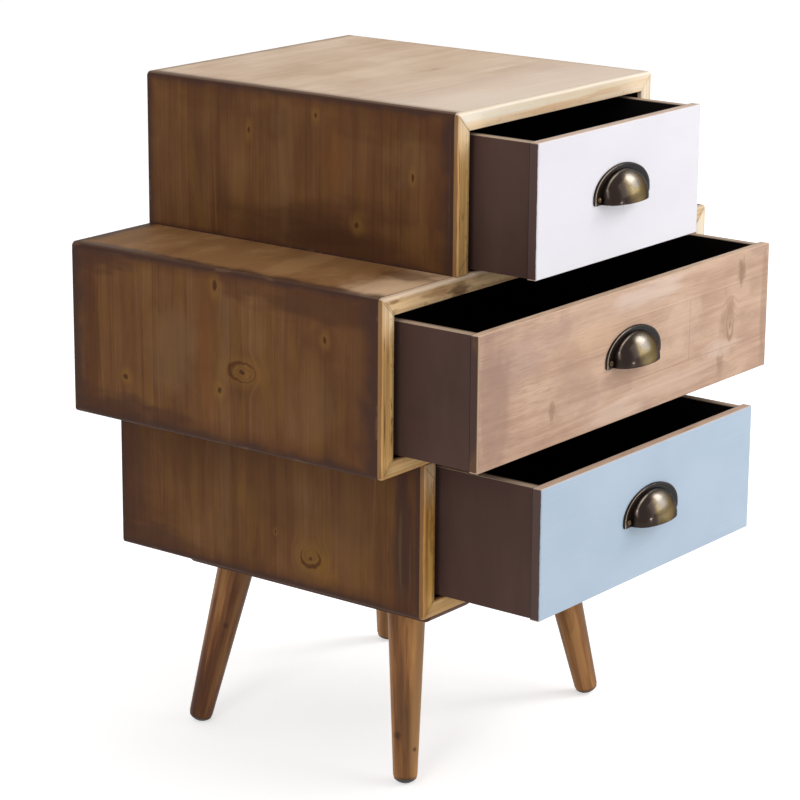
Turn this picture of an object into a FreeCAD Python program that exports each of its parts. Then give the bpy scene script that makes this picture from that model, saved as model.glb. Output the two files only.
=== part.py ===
import FreeCAD, Part
import math
import os

# A small chest of three drawers in stepped boxes on four splayed legs.  Millimetres, +Z up, front
# towards -Y.  The origin is on the floor, under the middle of the whole chest as it stands with its
# drawers part open.

os.makedirs("parts", exist_ok=True)
Vector = FreeCAD.Vector

# ---------------------------------------------------------------- boxes
carcass_depth = 335.0          # front of the lipping to the back edge of the boards
board = 16.0                   # side boards and tops
floor_board = 14.0             # bottom boards of the lower and the middle box
opening_height = 120.0         # clear height inside the lower and the middle box
upper_opening_height = 118.0
upper_width = 284.0
middle_width = 480.0
lower_width = 366.0
arris = 4.0                    # rounding along the long outer corners of the boxes
lipping = 4.0                  # solid wood strip glued on the front edges
lipping_round = 2.6            # rounding of the strip's outer front edge
lipping_soft = 0.8             # rounding of its inner front edge

# ---------------------------------------------------------------- back panels
back_thickness = 5.0
back_lap = 7.0                 # how far the rebate reaches into the boards
back_clearance = 0.25          # between the panel's edge and its rebate

# ---------------------------------------------------------------- base
leg_drop = 151.0               # floor to the underside of the battens
batten_thickness = 20.0
batten_width = 56.0
batten_front_inset = 25.0
batten_back_inset = 38.0
batten_end_round = 7.0
leg_side_inset = 72.5          # leg's middle at the batten, from the side of the lower box
leg_end_inset = 72.0           # the same from the front and from the back
leg_splay_x = 27.0             # foot, outwards from the top of its leg
leg_splay_y = 20.5
leg_top_radius = 16.6
leg_foot_radius = 10.5
leg_foot_chamfer = 0.8
glide_radius = 9.8
glide_height = 4.5
bolt_radius = 4.0
bolt_in_leg = 35.0
bolt_in_batten = 15.0
bolt_clearance = 0.1

# ---------------------------------------------------------------- drawers
front_thickness = 9.0
front_height = 112.0
front_edge_soft = 1.0
front_side_gap = 5.0           # front to the sides of its opening
front_overhang = 3.0           # front past the drawer side
drawer_lift = 2.5              # drawer's lower edge above the floor of its box
side_thickness = 9.0
side_below_front = 1.0         # drawer side's top edge below the top of the front
bottom_thickness = 4.0
bottom_height = 8.0            # groove above the drawer side's lower edge
groove_depth = 4.2
groove_clearance = 0.1
upper_open = 64.0              # how far each drawer stands open at rest
middle_open = 80.0
lower_open = 102.0

# ---------------------------------------------------------------- runners
running_gap = 0.3
runner_setback = 14.0          # behind the front of the lipping
runner_end = 26.0              # in front of the back panel
runner_width = 11.0            # foot of the runner, under the drawer side
runner_height = 14.0           # its wall, beside the drawer side
stop_width = 20.0
stop_height = 18.0
stop_length = 20.7
stop_inset = 50.0              # stop's middle, from the drawer's outer side

# ---------------------------------------------------------------- cup pulls
plate_arch = {"half_width": 41.5, "height": 25.0, "side": 16.0, "shoulder": 30.0, "crown": 62.0}
plate_skirt = 6.0              # plate below the springing of its arch
plate_thickness = 1.6
plate_corner = 3.0
plate_edge_round = 0.8
cup_arch = {"half_width": 30.0, "height": 27.0, "side": 40.0, "shoulder": 18.0, "crown": 40.0}
cup_projection = 17.5
cup_wall = 1.5
pull_above_front_edge = 48.0   # plate's lower edge above the front's lower edge
pull_screw_spacing = 69.0
pull_screw_height = 4.8        # above the plate's lower edge

# ---------------------------------------------------------------- screws
screw_clearance = 0.1
batten_screw = {"length": 30.0, "shank": 2.0, "head": 4.0, "head_height": 2.4}
box_screw = {"length": 42.0, "shank": 2.5, "head": 5.0, "head_height": 3.0}
pull_screw = {"length": 8.5, "shank": 1.25, "head": 2.3, "head_height": 1.6}
box_screw_inset = 60.0         # from the front and back of the carcass
batten_screw_inset = 11.5      # from the ends of the batten

# ---------------------------------------------------------------- levels and planes
front_y = (lower_open + cup_projection - carcass_depth) / 2
back_y = front_y + carcass_depth
middle_y = (front_y + back_y) / 2
board_front_y = front_y + lipping
panel_front_y = back_y - back_thickness
stop_front_y = panel_front_y - stop_length
leg_x = lower_width / 2 - leg_side_inset
lower_z = leg_drop + batten_thickness
middle_z = lower_z + floor_board + opening_height
upper_z = middle_z + floor_board + opening_height + board
top_z = upper_z + upper_opening_height + board
drawer_length = stop_front_y - running_gap - front_thickness - front_y    # drawer side, behind the front


def export(shape, node):
    shape.exportStep("parts/" + node + ".step")


def box(x0, x1, y0, y1, z0, z1):
    return Part.makeBox(x1 - x0, y1 - y0, z1 - z0, Vector(x0, y0, z0))


def prism(outline, y0, y1):
    """Solid with an outline of (x, z) corners, from y0 to y1."""
    corners = [Vector(x, y0, z) for x, z in outline]
    face = Part.Face(Part.makePolygon(corners + corners[:1]))
    return face.extrude(Vector(0, y1 - y0, 0))


def edges_where(shape, test):
    """Edges whose every end passes the test."""
    return [edge for edge in shape.Edges if all(test(vertex.Point) for vertex in edge.Vertexes)]


def near(a, b):
    return abs(a - b) < 1e-4


def edges_along_y(shape):
    return [e for e in shape.Edges if near(e.BoundBox.XLength, 0) and near(e.BoundBox.ZLength, 0)]


# ================================================================ carcass
# Each box is a tube of boards mitred at its corners.  The lower box is open at the top and the upper
# one at the bottom, where their sides butt against the middle box.
class Carcass:
    def __init__(self, name, width, z0, z1, has_floor, has_top):
        self.name = name
        self.half = width / 2
        self.z0 = z0
        self.z1 = z1
        self.has_floor = has_floor
        self.has_top = has_top
        self.inner = self.half - board
        self.floor = z0 + (floor_board if has_floor else 0)
        self.ceiling = z1 - (board if has_top else 0)

    def outlines(self):
        """Section of each board, mitred from the outer to the inner corner."""
        left = [(-self.half, self.z0), (-self.inner, self.floor), (-self.inner, self.ceiling), (-self.half, self.z1)]
        right = [(-x, z) for x, z in left]
        found = {"side_left": left, "side_right": right}
        if self.has_floor:
            found["bottom"] = [(-self.half, self.z0), (self.half, self.z0),
                               (self.inner, self.floor), (-self.inner, self.floor)]
        if self.has_top:
            found["top"] = [(-self.half, self.z1), (self.half, self.z1),
                            (self.inner, self.ceiling), (-self.inner, self.ceiling)]
        return found

    def envelope(self, y0, y1):
        """Outer block with rounded long corners; a side that butts runs on past the joint."""
        run_on = 2 * board
        z0 = self.z0 - (0 if self.has_floor else run_on)
        z1 = self.z1 + (0 if self.has_top else run_on)
        block = box(-self.half, self.half, y0, y1, z0, z1)
        return block.makeFillet(arris, edges_along_y(block))

    def rebate(self):
        """Space at the back that the panel lies in."""
        lap_floor = back_lap if self.has_floor else 0
        lap_top = back_lap if self.has_top else 0
        return (self.inner + back_lap, self.floor - lap_floor, self.ceiling + lap_top)

    def boards(self):
        envelope = self.envelope(board_front_y, back_y)
        half, low, high = self.rebate()
        rebate = box(-half, half, panel_front_y, back_y, low, high)
        made = {}
        for place, outline in self.outlines().items():
            piece = prism(outline, board_front_y, back_y).common(envelope)
            made[place] = piece.cut(rebate)
        return made

    def lippings(self):
        envelope = self.envelope(front_y, board_front_y)
        front_edges = edges_where(envelope, lambda p: near(p.y, front_y))
        envelope = envelope.makeFillet(lipping_round, front_edges)
        made = {}
        for place, outline in self.outlines().items():
            strip = prism(outline, front_y, board_front_y).common(envelope)
            inner = edges_where(strip, lambda p: near(p.y, front_y) and self.on_opening(p))
            made[place] = strip.makeFillet(lipping_soft, inner)
        return made

    def on_opening(self, point):
        """True on the inner corners of the front, where the opening starts."""
        return near(abs(point.x), self.inner) and (near(point.z, self.floor) or near(point.z, self.ceiling))

    def back_panel(self):
        half, low, high = self.rebate()
        return box(-half + back_clearance, half - back_clearance, panel_front_y, back_y,
                   low + back_clearance, high - back_clearance)


lower_box = Carcass("lower", lower_width, lower_z, middle_z, True, False)
middle_box = Carcass("middle", middle_width, middle_z, upper_z, True, True)
upper_box = Carcass("upper", upper_width, upper_z, top_z, False, True)
boxes = [lower_box, middle_box, upper_box]


# ================================================================ screws
def turned(profile):
    """Solid turned about Z from (radius, z) corners that start and end on the axis."""
    corners = [Vector(r, 0, z) for r, z in profile]
    face = Part.Face(Part.makePolygon(corners + corners[:1]))
    return face.revolve(Vector(0, 0, 0), Vector(0, 0, 1), 360)


def place_along(shape, start, direction):
    """Moves a shape from the origin, where it points along +Z, to start, pointing along direction."""
    moved = shape.copy()
    moved.Placement = FreeCAD.Placement(start, FreeCAD.Rotation(Vector(0, 0, 1), direction))
    return moved


def dome(radius, height):
    """Cap of a sphere on the plane z = 0, rising towards -Z."""
    sphere_radius = (radius ** 2 + height ** 2) / (2 * height)
    ball = Part.makeSphere(sphere_radius, Vector(0, 0, sphere_radius - height))
    return ball.common(Part.makeCylinder(sphere_radius, height, Vector(0, 0, -height)))


def countersunk(size, spare=0.0):
    """Countersunk screw, head at the origin and pointing along +Z; spare makes it the hole."""
    shank = size["shank"] + spare
    head = size["head"] + spare
    length = size["length"] + spare
    return turned([(0, 0), (head, 0), (shank, size["head_height"]), (shank, length), (0, length)])


def round_head(size, spare=0.0):
    """Round-head screw with its head in front of the origin and its shank along +Z."""
    head = dome(size["head"], size["head_height"])
    stem = Part.makeCylinder(size["shank"] + spare, size["length"] + spare)
    return head.fuse(stem)


# Screws that hold the boxes to each other: down from the middle box into the lower sides, and up from
# it into the upper sides.
box_screws = []
box_screw_holes = []
for side in (-1, 1):
    for y in (front_y + box_screw_inset, back_y - box_screw_inset):
        lower_x = side * (lower_box.half - board / 2)
        upper_x = side * (upper_box.half - board / 2)
        for start, direction in ((Vector(lower_x, y, middle_box.floor), Vector(0, 0, -1)),
                                 (Vector(upper_x, y, middle_box.ceiling), Vector(0, 0, 1))):
            box_screws.append(place_along(countersunk(box_screw), start, direction))
            box_screw_holes.append(place_along(countersunk(box_screw, screw_clearance), start, direction))

# ================================================================ base
# Two battens under the lower box carry the legs.
batten_front = front_y + batten_front_inset
batten_back = back_y - batten_back_inset
batten_screws = []
batten_screw_holes = []
for side in (-1, 1):
    for y in (batten_front + batten_screw_inset, middle_y, batten_back - batten_screw_inset):
        start = Vector(side * leg_x, y, leg_drop)
        batten_screws.append(place_along(countersunk(batten_screw), start, Vector(0, 0, 1)))
        batten_screw_holes.append(place_along(countersunk(batten_screw, screw_clearance), start, Vector(0, 0, 1)))

glide_sphere = (glide_radius ** 2 + glide_height ** 2) / (2 * glide_height)     # radius of the dome
below_battens = box(-middle_width, middle_width, 2 * front_y, 2 * back_y, 0, leg_drop)


class Leg:
    """Tapered leg, made upright with its foot at the origin, then leaned outwards."""

    def __init__(self, side, end):
        from_middle = carcass_depth / 2 - leg_end_inset
        self.top = Vector(side * leg_x, middle_y + end * from_middle, leg_drop)
        splay = Vector(side * leg_splay_x, end * leg_splay_y, 0)
        self.glide_centre = Vector(self.top.x, self.top.y, glide_sphere) + splay
        self.up = (self.top - self.glide_centre).normalize()
        self.foot = self.glide_centre - self.up * (glide_sphere - glide_height)
        self.length = (self.top - self.foot).Length

    def leaned(self, shape):
        return place_along(shape, self.foot, self.up)

    def solid(self):
        run_on = leg_top_radius
        slope = (leg_top_radius - leg_foot_radius) / self.length
        cone = Part.makeCone(leg_foot_radius, leg_top_radius + slope * run_on, self.length + run_on)
        rim = [edge for edge in edges_where(cone, lambda p: near(p.z, 0)) if edge.Closed]
        cone = cone.makeChamfer(leg_foot_chamfer, rim)
        return self.leaned(cone).common(below_battens).cut(self.bore())

    def glide(self):
        return self.leaned(dome(glide_radius, glide_height))

    def bolt(self, spare=0.0):
        """Hanger bolt, half in the leg and half in the batten; spare makes it the bore."""
        length = bolt_in_leg + bolt_in_batten + 2 * spare
        start = Vector(0, 0, self.length - bolt_in_leg - spare)
        return self.leaned(Part.makeCylinder(bolt_radius + spare, length, start))

    def bore(self):
        return self.bolt(bolt_clearance)


legs = {}
for side, side_name in ((-1, "left"), (1, "right")):
    for end, end_name in ((-1, "front"), (1, "back")):
        legs["leg_" + end_name + "_" + side_name] = Leg(side, end)


def batten(side):
    x = side * leg_x
    bar = box(x - batten_width / 2, x + batten_width / 2, batten_front, batten_back, leg_drop, lower_z)
    ends = edges_where(bar, lambda p: near(p.z, leg_drop))
    ends = [edge for edge in ends if near(edge.BoundBox.YLength, 0)]
    bar = bar.makeFillet(batten_end_round, ends)
    for hole in batten_screw_holes:
        bar = bar.cut(hole)
    for leg in legs.values():
        bar = bar.cut(leg.bore())
    return bar


# ================================================================ runners
# Each drawer side runs in a runner of L section: its foot carries the drawer and its wall guides it.
# Two stops stand behind the shut drawer.
class Drawer:
    def __init__(self, name, carcass, opened):
        self.name = name
        self.carcass = carcass
        self.opened = opened
        self.front_half = carcass.inner - front_side_gap
        self.half = self.front_half - front_overhang
        self.z0 = carcass.floor + drawer_lift
        self.front_top = self.z0 + front_height
        self.side_top = self.front_top - side_below_front
        self.face_y = front_y - opened
        self.box_front = self.face_y + front_thickness
        self.box_back = self.box_front + drawer_length

    # -------- strips in the carcass
    def strip(self, side, near_x, height):
        """Strip from near_x outwards to the side of the box."""
        xs = sorted((side * near_x, side * self.carcass.inner))
        floor = self.carcass.floor
        return box(xs[0], xs[1], front_y + runner_setback, panel_front_y - runner_end, floor, floor + height)

    def runner(self, side):
        foot = self.strip(side, self.half - runner_width, drawer_lift - running_gap)
        wall = self.strip(side, self.half + running_gap, runner_height)
        return foot.fuse(wall).removeSplitter()

    def stop(self, side):
        x0 = side * (self.half - stop_inset) - stop_width / 2
        floor = self.carcass.floor
        return box(x0, x0 + stop_width, stop_front_y, panel_front_y, floor, floor + stop_height)

    # -------- the drawer itself
    def groove(self):
        """Space for the bottom, as wide as the grooves reach."""
        low = self.z0 + bottom_height
        high = low + bottom_thickness + 2 * groove_clearance
        reach = self.half - side_thickness + groove_depth
        return box(-reach, reach, self.box_front - groove_depth, self.box_back + groove_depth, low, high)

    def pull_base(self):
        """Middle of the pull's lower edge, on the front."""
        return Vector(0, self.face_y, self.z0 + pull_above_front_edge)

    def screw_points(self):
        base = self.pull_base()
        return [base + Vector(side * pull_screw_spacing / 2, 0, pull_screw_height) for side in (-1, 1)]

    def front(self):
        panel = box(-self.front_half, self.front_half, self.face_y, self.box_front, self.z0, self.front_top)
        panel = panel.makeFillet(front_edge_soft, edges_where(panel, lambda p: near(p.y, self.face_y)))
        for point in self.screw_points():
            start = point - Vector(0, plate_thickness, 0)
            panel = panel.cut(place_along(round_head(pull_screw, screw_clearance), start, Vector(0, 1, 0)))
        return panel.cut(self.groove())

    def side(self, side):
        xs = sorted((side * (self.half - side_thickness), side * self.half))
        panel = box(xs[0], xs[1], self.box_front, self.box_back, self.z0, self.side_top)
        return panel.cut(self.groove())

    def back(self):
        inner = self.half - side_thickness
        low = self.z0 + bottom_height + bottom_thickness + 2 * groove_clearance
        return box(-inner, inner, self.box_back - side_thickness, self.box_back, low, self.side_top)

    def bottom(self):
        reach = self.half - side_thickness + groove_depth - groove_clearance
        low = self.z0 + bottom_height + groove_clearance
        return box(-reach, reach, self.box_front - groove_depth + groove_clearance, self.box_back,
                   low, low + bottom_thickness)

    def pull(self):
        moved = cup_pull.copy()
        moved.translate(self.pull_base())
        return moved

    def pull_screws(self):
        starts = [point - Vector(0, plate_thickness, 0) for point in self.screw_points()]
        return [place_along(round_head(pull_screw), start, Vector(0, 1, 0)) for start in starts]


# ================================================================ cup pull
def upper_crossing(centre_a, radius_a, centre_b, radius_b):
    """Upper of the two points where circles in the plane y = 0 cross."""
    apart = centre_b - centre_a
    along = (radius_a ** 2 - radius_b ** 2 + apart.Length ** 2) / (2 * apart.Length)
    aside = math.sqrt(radius_a ** 2 - along ** 2)
    unit = apart / apart.Length
    square = Vector(unit.z, 0, -unit.x)
    return centre_a + unit * along + max(square, -square, key=lambda way: way.z) * aside


def arch(size, inset=0.0):
    """Five tangent arcs from the right foot of an arch over its crown to the left foot, its feet on z = 0."""
    side_centre = Vector(size["half_width"] - size["side"], 0, 0)
    crown_centre = Vector(0, 0, size["height"] - size["crown"])
    side_shift = size["side"] - size["shoulder"]
    crown_shift = size["crown"] - size["shoulder"]
    shoulder_centre = upper_crossing(side_centre, side_shift, crown_centre, crown_shift)
    side_end = (shoulder_centre - side_centre) / side_shift
    crown_end = (shoulder_centre - crown_centre) / crown_shift

    def arc(centre, radius, start, end):
        middle = (start + end).normalize()
        return Part.Arc(*[centre + way * (radius - inset) for way in (start, middle, end)]).toShape()

    right = [arc(side_centre, size["side"], Vector(1, 0, 0), side_end),
             arc(shoulder_centre, size["shoulder"], side_end, crown_end)]
    left = [edge.mirror(Vector(0, 0, 0), Vector(1, 0, 0)) for edge in right]
    crown = arc(crown_centre, size["crown"], crown_end, Vector(-crown_end.x, 0, crown_end.z))
    return right + [crown] + left


def cup_form(inset):
    """Quarter of a dome over the arch, open at the bottom and the back."""
    feet = cup_arch["half_width"] - inset
    outline = arch(cup_arch, inset) + [Part.makeLine(Vector(-feet, 0, 0), Vector(feet, 0, 0))]
    quarter = Part.Face(Part.Wire(Part.__sortEdges__(outline))).revolve(Vector(0, 0, 0), Vector(1, 0, 0), 90)
    squeeze = FreeCAD.Matrix()
    squeeze.scale(1, (cup_projection - inset) / (cup_arch["height"] - inset), 1)
    return quarter.transformGeometry(squeeze)


def make_cup_pull():
    """One-piece pull: arched plate and cup, back on y = 0 and lower edge on z = 0."""
    foot = plate_arch["half_width"]
    skirt = [Vector(-foot, 0, 0), Vector(-foot, 0, -plate_skirt), Vector(foot, 0, -plate_skirt), Vector(foot, 0, 0)]
    outline = arch(plate_arch) + Part.makePolygon(skirt).Edges
    plate = Part.Face(Part.Wire(Part.__sortEdges__(outline))).extrude(Vector(0, -plate_thickness, 0))
    plate.translate(Vector(0, 0, plate_skirt))
    corners = [edge for edge in edges_along_y(plate) if near(edge.Vertexes[0].Point.z, 0)]
    plate = plate.makeFillet(plate_corner, corners)
    plate = plate.makeFillet(plate_edge_round, edges_where(plate, lambda p: near(p.y, -plate_thickness)))
    body = plate.fuse(cup_form(0)).cut(cup_form(cup_wall))
    for side in (-1, 1):
        mouth = Vector(side * pull_screw_spacing / 2, plate_thickness, pull_screw_height)
        body = body.cut(Part.makeCylinder(pull_screw["shank"] + screw_clearance, 3 * plate_thickness,
                                          mouth, Vector(0, -1, 0)))
    return body


cup_pull = make_cup_pull()
drawers = [Drawer("upper", upper_box, upper_open), Drawer("middle", middle_box, middle_open),
           Drawer("lower", lower_box, lower_open)]

# ================================================================ out
for carcass in boxes:
    for place, piece in carcass.boards().items():
        for hole in box_screw_holes + batten_screw_holes:
            if piece.BoundBox.intersect(hole.BoundBox):
                piece = piece.cut(hole)
        export(piece, carcass.name + "_" + place + "_board")
    for place, strip in carcass.lippings().items():
        export(strip, carcass.name + "_" + place + "_lipping")
    export(carcass.back_panel(), carcass.name + "_back_panel")

export(batten(-1), "batten_left")
export(batten(1), "batten_right")
for node, leg in legs.items():
    export(leg.solid(), node)
export(Part.makeCompound([leg.glide() for leg in legs.values()]), "leg_glides")
export(Part.makeCompound([leg.bolt() for leg in legs.values()]), "leg_hanger_bolts")
export(Part.makeCompound(batten_screws), "batten_screws")
export(Part.makeCompound(box_screws), "box_screws")

for drawer in drawers:
    export(Part.makeCompound([drawer.runner(-1), drawer.runner(1)]), drawer.name + "_runners")
    export(Part.makeCompound([drawer.stop(-1), drawer.stop(1)]), drawer.name + "_stops")
    prefix = drawer.name + "_drawer_"
    export(drawer.front(), prefix + "front")
    export(drawer.side(-1), prefix + "side_left")
    export(drawer.side(1), prefix + "side_right")
    export(drawer.back(), prefix + "back")
    export(drawer.bottom(), prefix + "bottom")
    export(drawer.pull(), drawer.name + "_cup_pull")
    export(Part.makeCompound(drawer.pull_screws()), drawer.name + "_pull_screws")
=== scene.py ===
import math
from functools import partialmethod
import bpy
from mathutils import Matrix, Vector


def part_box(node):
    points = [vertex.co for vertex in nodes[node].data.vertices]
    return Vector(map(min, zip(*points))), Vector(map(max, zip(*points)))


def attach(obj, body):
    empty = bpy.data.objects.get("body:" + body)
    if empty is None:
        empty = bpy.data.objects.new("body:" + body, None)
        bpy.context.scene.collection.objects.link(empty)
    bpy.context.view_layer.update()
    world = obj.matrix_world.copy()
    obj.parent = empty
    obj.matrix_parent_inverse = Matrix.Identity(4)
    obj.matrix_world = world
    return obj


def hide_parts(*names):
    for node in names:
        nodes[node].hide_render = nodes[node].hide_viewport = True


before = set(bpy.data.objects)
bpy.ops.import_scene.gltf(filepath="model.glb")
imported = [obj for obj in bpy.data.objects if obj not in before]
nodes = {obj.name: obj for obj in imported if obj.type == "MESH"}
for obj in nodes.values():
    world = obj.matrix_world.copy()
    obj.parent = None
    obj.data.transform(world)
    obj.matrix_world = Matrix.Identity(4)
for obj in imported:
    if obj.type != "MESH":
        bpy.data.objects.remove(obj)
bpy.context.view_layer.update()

from types import SimpleNamespace

import bmesh
import bpy
from mathutils import Matrix, Vector


# -------- carcass boards
# The three boxes are glued up from softwood staves and mitred at their outer corners.
# They are stained mid brown and burnished dark along every edge. Inside they are nearly black: a dark stain with
# painted shade laid over it.
def tint(colour):
    """A colour on the 0 to 255 scale, as the shader wants it."""
    levels = [level / 255 for level in colour]
    return tuple(v / 12.92 if v <= 0.04045 else ((v + 0.055) / 1.055) ** 2.4 for v in levels) + (1,)


def feed(socket, value):
    """Sets a socket to a value, or links it to the step that gives one."""
    if isinstance(value, Step):
        value.tree.links.new(value.socket, socket)
    else:
        socket.default_value = value


class Bench:
    """Works on one node tree and can add nodes to it."""

    def __init__(self, tree):
        self.tree = tree

    def add(self, kind, inputs=(), out=0, **settings):
        node = self.tree.nodes.new(kind)
        for name, value in settings.items():
            setattr(node, name, value)
        for socket, value in dict(inputs).items():
            feed(node.inputs[socket], value)
        return Step(node.outputs[out])


class Step(Bench):
    """A value that a node gives. Each sum, product or other working with it adds one more node."""

    def __init__(self, socket):
        super().__init__(socket.id_data)
        self.socket = socket

    def work(self, operation, *others):
        return self.add("ShaderNodeMath", enumerate((self, *others)), operation=operation)

    __add__ = partialmethod(work, "ADD")
    __sub__ = partialmethod(work, "SUBTRACT")
    __mul__ = partialmethod(work, "MULTIPLY")
    __truediv__ = partialmethod(work, "DIVIDE")
    __abs__ = partialmethod(work, "ABSOLUTE")
    most = partialmethod(work, "MAXIMUM")
    least = partialmethod(work, "MINIMUM")

    def __rsub__(self, other):
        return self.add("ShaderNodeMath", {0: other, 1: self}, operation="SUBTRACT")

    def fade(self, start, end):
        """0 at start and 1 at end, eased between them."""
        return self.add("ShaderNodeMapRange", {0: self, 1: start, 2: end}, interpolation_type="SMOOTHSTEP")

    def ramp(self, *stops):
        """Colour that runs through the stops, each (position, colour)."""
        step = self.add("ShaderNodeValToRGB", {0: self})
        points = step.socket.node.color_ramp.elements
        for point, (position, colour) in zip(points, (stops[0], stops[-1])):
            point.position, point.color = position, tint(colour)
        for position, colour in stops[1:-1]:
            points.new(position).color = tint(colour)
        return step


def vector(x, y, z=0):
    """A vector of three parts, at least one of them a step."""
    step = next(part for part in (x, y, z) if isinstance(part, Step))
    return step.add("ShaderNodeCombineXYZ", {0: x, 1: y, 2: z})


def length(x, y, z=0):
    whole = vector(x, y, z)
    return whole.add("ShaderNodeVectorMath", {0: whole}, "Value", operation="LENGTH")


def split(whole):
    """The x, y and z of a vector."""
    return [Step(part) for part in whole.add("ShaderNodeSeparateXYZ", {0: whole}).socket.node.outputs]


class Finish(Bench):
    """A finish being mixed: its material, the place on the piece in mm, and the colour laid so far.

    The place is read from a mark on the mesh, where one is named."""

    def __init__(self, name, mark=None):
        self.material = bpy.data.materials.new(name)
        self.material.use_nodes = True
        self.tree = self.material.node_tree
        self.shader = self.tree.nodes["Principled BSDF"]
        if mark:
            where = self.add("ShaderNodeAttribute", out="Vector", attribute_name=mark)
        else:
            where = self.add("ShaderNodeTexCoord", out="Object")
        self.place = [axis * 1000 for axis in split(where)]

    def mix(self, amount, first, second):
        first, second = (tint(colour) if isinstance(colour, tuple) else colour for colour in (first, second))
        return self.add("ShaderNodeMix", {0: amount, 6: first, 7: second}, 2, data_type="RGBA")

    def lay(self, colour, amount):
        """Lays a colour over what is there already."""
        self.colour = self.mix(amount, self.colour, colour)

    def noise(self, fineness, detail=2, roughness=0.5, at=None):
        """Cloudy noise about 0.5; fineness is how many clouds fit in a mm along each direction."""
        scaled = [part * rate for part, rate in zip(at or self.place, fineness)]
        inputs = {"Vector": vector(*scaled), "Scale": 1, "Detail": detail, "Roughness": roughness}
        return self.add("ShaderNodeTexNoise", inputs)

    def grain(self, across, along, depth, seed, stave=62, first=0, sway=0.2, ring=4.2, wander=9, knots=()):
        """Figure of staves glued side by side. Each has its own tone and rings, which swerve round the knots.

        A knot is (across, along, radius, how many times as long as wide). One over 5 mm adds which way its rings lie
        off centre, across and along, and its rim is thickest on the other side."""
        even = (across - first) / stave
        uneven = (even * 2.3).work("SINE") * sway + even
        within = uneven.work("FRACT")
        own = uneven.work("FLOOR") + seed * 17.3
        tone = self.add("ShaderNodeTexWhiteNoise", {"W": own}, "Value", noise_dimensions="1D")
        shift = tone * 613
        to_joint = within.least(1 - within) * stave

        bent, eye, halo, eye_ring = across, 0, 0, 0
        for knot_across, knot_along, radius, stretch, *lean in knots:
            large = radius > 5
            off = across - knot_across
            wide, tall = off / radius, (along - knot_along) / (radius * stretch)
            uneven_edge = self.noise((0.2, 0.14, 0.2), at=(across, along, depth)) - 0.5
            near = uneven_edge * (0.4 if large else 1.1) + length(wide, tall)
            bent = bent - off * (near.fade(2.6 if large else 4, 0.4) * 0.75)
            core = 0.28 if large else 0.9
            eye = near.fade(core, core * 0.45).most(eye)
            halo = near.fade(2.2 if large else 3, 0.6).most(halo)
            if large:
                inner = uneven_edge * 0.6 + length(wide - lean[0], tall - lean[1])
                rim = near.fade(1.12, 0.94) * inner.fade(0.7, 0.96)
                second = inner.fade(0.62, 0.52) * inner.fade(0.38, 0.5)
                eye_ring = rim.most(second * 0.3).most(eye_ring)

        cloud = self.noise((0.022, 0.0034, 1), 1, at=(across, along, shift))
        path = (cloud - 0.5) * (wander * 2) + bent
        strip, board = (path, along, shift), (across, along, depth)
        late = (path / ring + shift).work("FRACT").work("POWER", 2)
        keen = self.noise((0.07, 0.002, 1.3), at=strip).fade(0.42, 0.66)
        fibre = self.noise((0.8, 0.02, 0.8), 3, 0.65, at=(path, along, depth))
        streak = self.noise((0.26, 0.004, 1), 3, 0.6, at=strip)
        band = self.noise((0.06, 0.0022, 1), at=strip)
        stain = self.noise((0.022, 0.012, 0.02), 3, 0.55, at=board)
        shade = 0.5
        for part, weight in ((stain, 0.4), (band, 0.26), (streak, keen * 0.3 + 0.14), (fibre, 0.16), (tone, 0.08)):
            shade = (part - 0.5) * weight + shade
        blotch = self.noise((0.014, 0.01, 0.02), 4, 0.6, at=board)
        return SimpleNamespace(
            shade=shade, tone=tone, joint=to_joint.fade(0.6, 0.1), late=late * keen, fibre=fibre, streak=streak,
            blotch=blotch, eye=eye, eye_ring=eye_ring, halo=halo,
        )

    def smudge(self, across, along, spots):
        """Lays soft-edged spots. Each is (across, along, half width, half height, strength, colour)."""
        for centre_across, centre_along, wide, tall, strength, colour in spots:
            near = length((across - centre_across) / wide, (along - centre_along) / tall)
            ragged = self.noise((1.4 / wide, 1.4 / tall, 1), 3, at=(across, along, 0))
            near = (ragged - 0.5) * 1.6 + near
            self.lay(colour, near.fade(1.15, 0.35) * strength)

    def from_edge(self, across, along, limits, reach=(1, 1, 1, 1), ragged=5):
        """How far in from the nearest edge of a board that lies between the limits, in reaches of that edge."""
        low_across, high_across, low_along, high_along = limits
        gaps = (across - low_across, high_across - across, along - low_along, high_along - along)
        nearest = 1000
        for gap, width in zip(gaps, reach):
            nearest = (gap / width).least(nearest)
        return (self.noise((0.05, 0.05, 0.05), 3) - 0.5) * ragged + nearest

    def coat(self, roughness, height, relief, gloss=0.25, metallic=0):
        """Ties the steps to the shader. Relief is how deep the height pattern is cut, in mm."""
        bump = self.add("ShaderNodeBump", {"Strength": 1, "Distance": relief / 1000, "Height": height})
        for socket, value in (
            ("Base Color", self.colour), ("Roughness", roughness), ("Normal", bump),
            ("Specular IOR Level", gloss), ("Metallic", metallic),
        ):
            feed(self.shader.inputs[socket], value)
        return self.material


def dress(node, material):
    """Gives a CAD node a finish in place of its plain one."""
    nodes[node].data.materials.clear()
    nodes[node].data.materials.append(material)


def corners(node):
    """Low and high corner of a CAD node's box, in mm."""
    return [corner * 1000 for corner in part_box(node)]


STAIN = (
    (0.36, (88, 56, 31)), (0.44, (99, 64, 36)), (0.5, (108, 71, 41)), (0.56, (115, 78, 46)), (0.64, (126, 91, 58)),
)
DARK_LINE = (66, 38, 20)
RED = (78, 43, 26)
GREY = (124, 92, 62)
GOLD = (116, 82, 36)
ORANGE = (122, 74, 38)
BURNISH = (62, 40, 33)
WORN = (150, 114, 84)
KNOT = (56, 25, 10)
KNOT_RIM = (68, 33, 12)
KNOT_HALO = (136, 98, 44)
# Nearly black inside: a dark stain, darkened further as painted shade.
INSIDE_STAIN_AND_SHADE = (10, 7, 7)


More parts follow.
